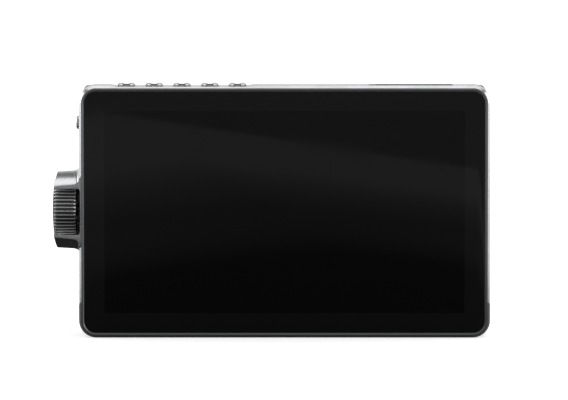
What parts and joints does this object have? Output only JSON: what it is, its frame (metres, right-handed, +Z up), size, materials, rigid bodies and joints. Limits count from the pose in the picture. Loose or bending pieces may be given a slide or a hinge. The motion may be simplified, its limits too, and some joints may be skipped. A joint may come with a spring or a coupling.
{
  "type": "camera field monitor",
  "caption": "Compact field monitor: framed touch screen in a shallow metal body, with a guarded knurled wheel, top keys, card door, side sockets and a rear battery plate.",
  "frame": {"origin": "mouth of the tripod thread, at the middle of the base, on the plane the monitor stands on", "axes": "+X to the right seen from the front, -Y out of the screen, +Z up; the screen stands upright"},
  "size_m": [0.1483, 0.0282, 0.0863],
  "materials": {
    "frame_metal": "dark anodised, satin, fine bead blast",
    "body_metal": "grey anodised, satin",
    "wheel_metal": "grey anodised, machined ridges",
    "cover_plastic": "dark grey, fine moulded texture",
    "screen_glass": "black backed polished glass",
    "cell_glass": "dark glass",
    "key_gloss": "dark gloss",
    "rubber": "matt black rubber",
    "steel": "plain steel",
    "black_steel": "black oxide",
    "brass": "plain",
    "sheet_metal": "rolled sheet",
    "socket_metal": "bright plated shell",
    "white_plastic": "plain",
    "black_plastic": "fine moulded texture",
    "latch_plastic": "mid grey",
    "board_laminate": "solder mask",
    "ribbon_film": "polyimide film"
  },
  "bodies": {
    "housing": {"front_frame": "frame_metal", "cover_glass": "screen_glass", "glass_gasket": "rubber", "touch_sensor": "cell_glass", "lcd_cell": "cell_glass", "light_guide": "white_plastic", "lcd_tray": "sheet_metal", "display_ribbon": "ribbon_film", "chassis_plate": "sheet_metal", "mid_frame": "body_metal", "rear_cover": "cover_plastic", "base_bumper": "rubber", "tripod_insert": "steel", "chassis_screws": "steel", "board_screws": "steel", "rear_screws": "black_steel", "main_board": "board_laminate", "board_chips": "black_plastic", "heat_sink": "sheet_metal", "fan_frame": "black_plastic", "fan_screws": "steel", "key_board": "board_laminate", "key_switches": "white_plastic", "power_switch": "white_plastic", "card_socket": "sheet_metal", "door_pin": "steel", "wheel_guard": "body_metal", "guard_screws": "steel", "wheel_bushing": "black_plastic", "encoder_body": "black_plastic", "encoder_board": "board_laminate", "encoder_switch": "steel", "video_in_socket": "socket_metal", "video_out_socket": "socket_metal", "usb_socket": "socket_metal", "headphone_socket": "black_plastic", "power_inlet": "black_plastic", "battery_plate": "black_plastic", "battery_contacts": "brass", "plate_screws": "steel"},
    "key_1": {"key_1": "key_gloss"},
    "key_2": {"key_2": "key_gloss"},
    "key_3": {"key_3": "key_gloss"},
    "key_4": {"key_4": "key_gloss"},
    "key_5": {"key_5": "key_gloss"},
    "power_key": {"power_key": "key_gloss"},
    "card_door": {"card_door": "body_metal", "door_seal": "rubber"},
    "wheel_carrier": {"encoder_plunger": "white_plastic"},
    "wheel": {"wheel_rim": "wheel_metal", "wheel_cap": "wheel_metal", "wheel_shaft": "black_steel"},
    "fan": {"fan_rotor": "black_plastic"},
    "battery_latch": {"battery_latch": "latch_plastic"}
  },
  "joints": [
    {"name": "key_1_press", "type": "slide", "parent": "housing", "child": "key_1", "axis": [0, 0, -1], "range_m": [0, 0.00035], "stiffness_N_per_m": 600, "springref_m": -0.0008},
    {"name": "key_2_press", "type": "slide", "parent": "housing", "child": "key_2", "axis": [0, 0, -1], "range_m": [0, 0.00035], "stiffness_N_per_m": 600, "springref_m": -0.0008},
    {"name": "key_3_press", "type": "slide", "parent": "housing", "child": "key_3", "axis": [0, 0, -1], "range_m": [0, 0.00035], "stiffness_N_per_m": 600, "springref_m": -0.0008},
    {"name": "key_4_press", "type": "slide", "parent": "housing", "child": "key_4", "axis": [0, 0, -1], "range_m": [0, 0.00035], "stiffness_N_per_m": 600, "springref_m": -0.0008},
    {"name": "key_5_press", "type": "slide", "parent": "housing", "child": "key_5", "axis": [0, 0, -1], "range_m": [0, 0.00035], "stiffness_N_per_m": 600, "springref_m": -0.0008},
    {"name": "power_key_press", "type": "slide", "parent": "housing", "child": "power_key", "axis": [1, 0, 0], "range_m": [0, 0.00035], "stiffness_N_per_m": 600, "springref_m": -0.001},
    {"name": "card_door_hinge", "type": "hinge", "parent": "housing", "child": "card_door", "pos_m": [0.04385, -0.0039, 0.08462], "axis": [-1, 0, 0], "range_deg": [0, 95]},
    {"name": "wheel_push", "type": "slide", "parent": "housing", "child": "wheel_carrier", "axis": [1, 0, 0], "range_m": [0, 0.0004], "stiffness_N_per_m": 900, "springref_m": -0.0015},
    {"name": "wheel_turn", "type": "hinge", "parent": "wheel_carrier", "child": "wheel", "pos_m": [-0.074, -0.00205, 0.0428], "axis": [1, 0, 0], "continuous": true},
    {"name": "fan_spin", "type": "hinge", "parent": "housing", "child": "fan", "pos_m": [0.0435, 0.0075, 0.0388], "axis": [0, 1, 0], "continuous": true},
    {"name": "battery_latch_press", "type": "slide", "parent": "housing", "child": "battery_latch", "axis": [0, -1, 0], "range_m": [0, 0.0015], "stiffness_N_per_m": 500, "springref_m": -0.0015}
  ]
}
